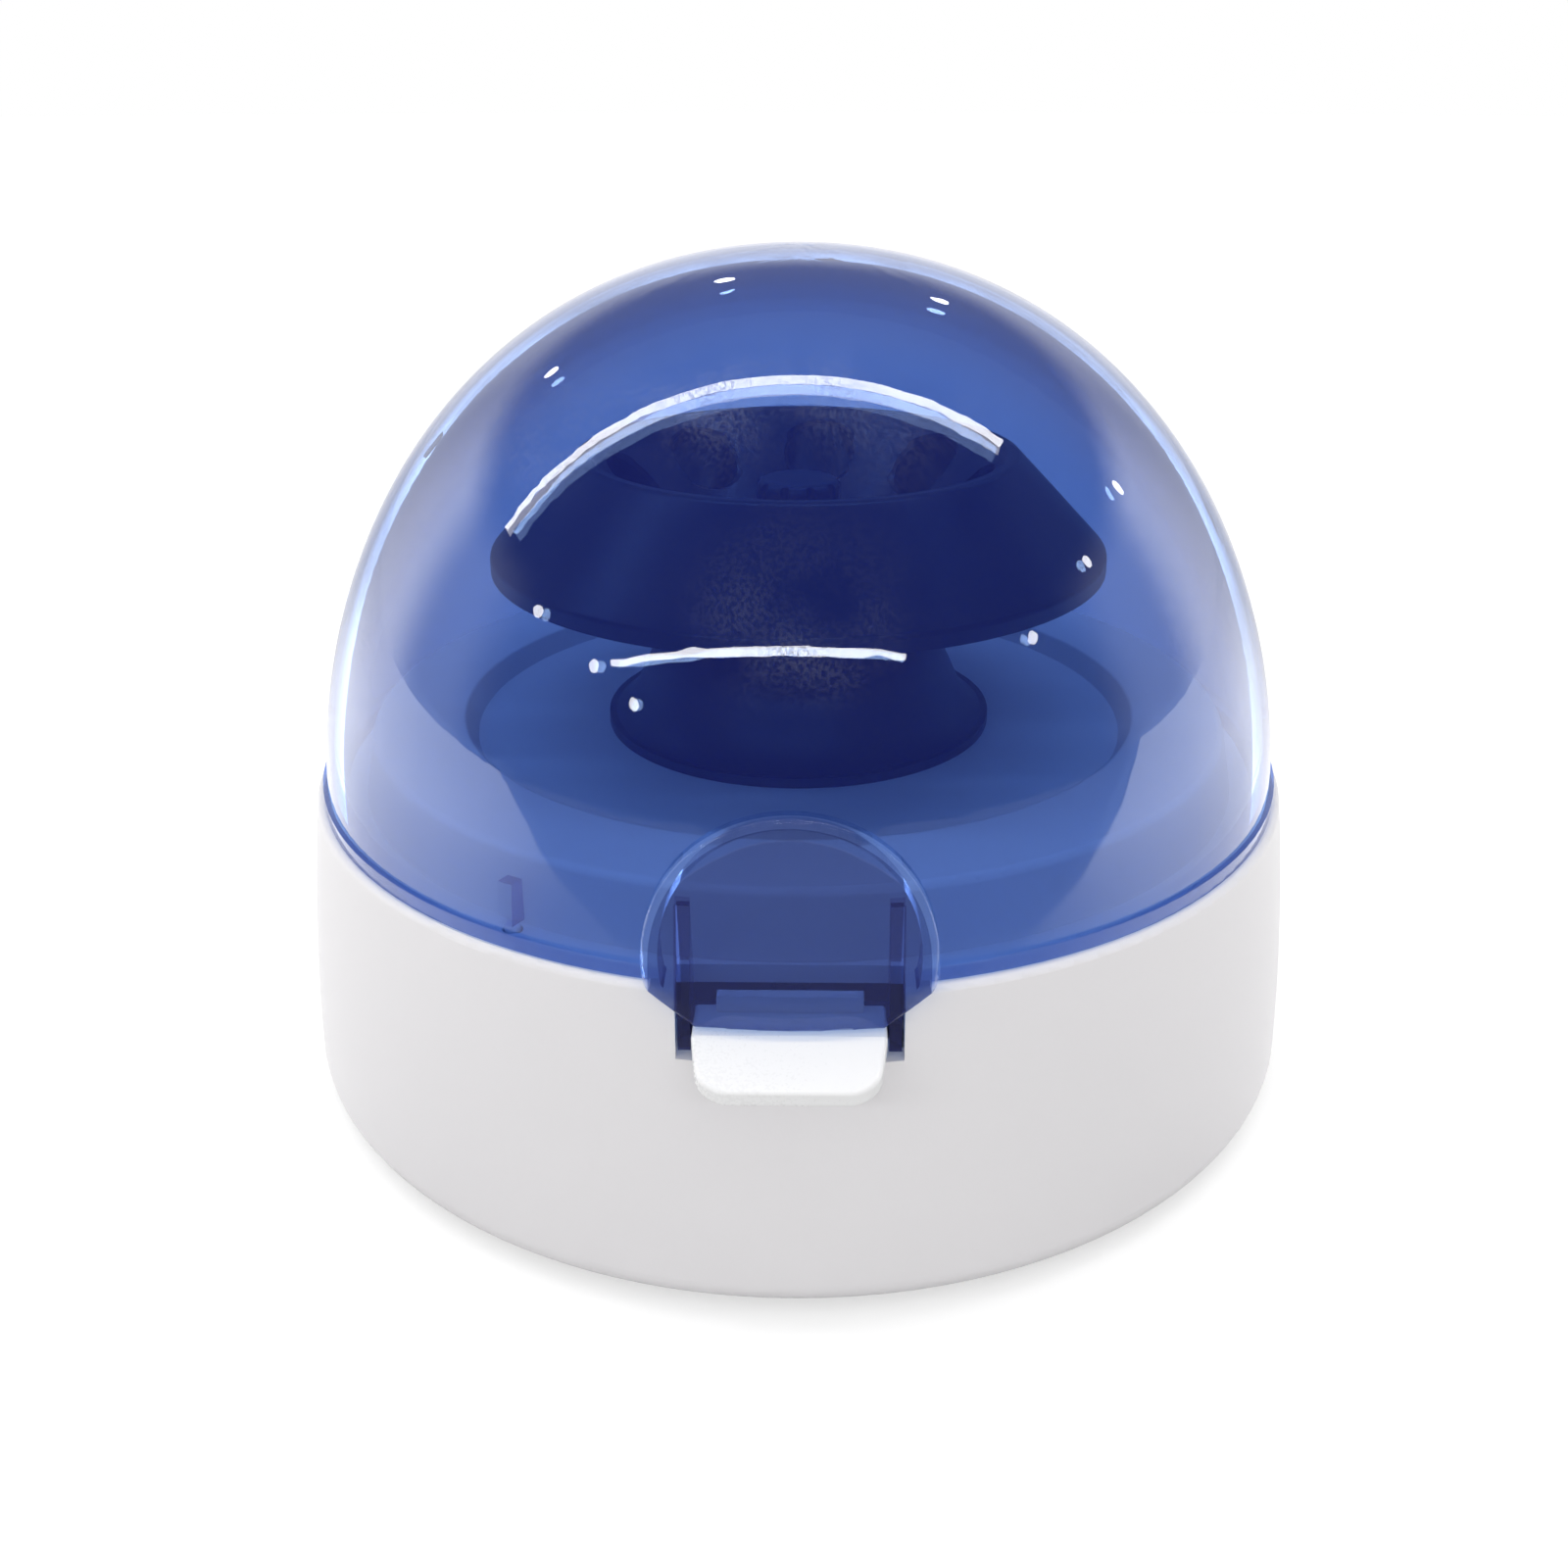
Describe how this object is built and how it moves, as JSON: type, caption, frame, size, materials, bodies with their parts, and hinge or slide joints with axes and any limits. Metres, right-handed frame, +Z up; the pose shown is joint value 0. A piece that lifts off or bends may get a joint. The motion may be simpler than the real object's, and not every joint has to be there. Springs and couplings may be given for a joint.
{
  "type": "mini centrifuge",
  "caption": "Round bench-top mini centrifuge: white moulded base, clear blue hinged dome lid with a front press latch, and a black fixed-angle tube rotor.",
  "frame": {"origin": "on the standing plane under the feet, at the middle of the whole footprint, which is also the rotor's axis", "axes": "+Z up along the rotor's axis, -Y towards the front with the latch, +X to the right seen from the front"},
  "size_m": [0.1495, 0.164, 0.1195],
  "materials": {
    "base_white": "fine satin moulded plastic, off-white",
    "lid_blue": "clear blue tinted moulded plastic, polished",
    "latch_white": "smooth white moulded plastic",
    "rotor_black": "black moulded plastic, satin",
    "tower_black": "black moulded plastic, satin",
    "nut_dark": "dark moulded plastic",
    "steel": "bright steel",
    "screw_steel": "zinc plated steel",
    "spring_steel": "spring wire",
    "aluminium": "turned aluminium",
    "bronze": "sintered bronze",
    "brass": "tinned brass",
    "core_iron": "lacquered iron core",
    "magnet": "ferrite",
    "cap_black": "black nylon",
    "foot_rubber": "soft dark rubber",
    "damper_rubber": "soft black rubber",
    "switch_black": "black switch plastic",
    "board_green": "glass-filled board with solder mask",
    "component": "sleeved electronic components"
  },
  "bodies": {
    "base": {"base_housing": "base_white", "bottom_cover": "base_white", "cover_screws": "screw_steel", "rubber_feet": "foot_rubber", "hinge_pin": "steel", "latch_pin": "steel", "latch_spring": "spring_steel", "motor_can": "screw_steel", "motor_end_cap": "cap_black", "motor_bushes": "bronze", "motor_magnets": "magnet", "motor_terminals": "brass", "motor_bracket": "aluminium", "motor_screws": "screw_steel", "bracket_dampers": "damper_rubber", "bracket_screws": "screw_steel", "motor_tower": "tower_black", "dc_jack": "switch_black", "jack_nut": "screw_steel", "switch_body": "switch_black", "lid_switch_body": "switch_black", "control_board": "board_green", "board_parts": "component", "board_screws": "screw_steel"},
    "lid": {"lid": "lid_blue"},
    "latch": {"latch_lever": "latch_white"},
    "rotor": {"rotor": "rotor_black", "drive_adapter": "aluminium", "rotor_nut": "nut_dark", "motor_shaft": "steel", "motor_armature": "core_iron"},
    "power_rocker": {"switch_rocker": "switch_black"},
    "lid_plunger": {"lid_switch_plunger": "latch_white"}
  },
  "joints": [
    {"name": "lid_hinge", "type": "hinge", "parent": "base", "child": "lid", "pos_m": [0, 0.0775, 0.0475], "axis": [-1, 0, 0], "range_deg": [0, 80]},
    {"name": "latch_press", "type": "hinge", "parent": "base", "child": "latch", "pos_m": [0, -0.0677, 0.0318], "axis": [1, 0, 0], "range_deg": [0, 6], "stiffness_Nm_per_rad": 0.3, "springref_deg": -6.88, "deforming": ["latch_spring"]},
    {"name": "rotor_spin", "type": "hinge", "parent": "base", "child": "rotor", "pos_m": [0, 0, 0.0743], "axis": [0, 0, 1], "continuous": true},
    {"name": "power_switch", "type": "hinge", "parent": "base", "child": "power_rocker", "pos_m": [0.01, 0.0684, 0.0225], "axis": [1, 0, 0], "range_deg": [0, 16]},
    {"name": "lid_switch_press", "type": "slide", "parent": "base", "child": "lid_plunger", "axis": [0, 0, 1], "range_m": [0, 0.0015]}
  ],
  "couplings": [
    {"joint": "lid_switch_press", "follows": "lid_hinge", "m_per_rad": 0.00107}
  ]
}
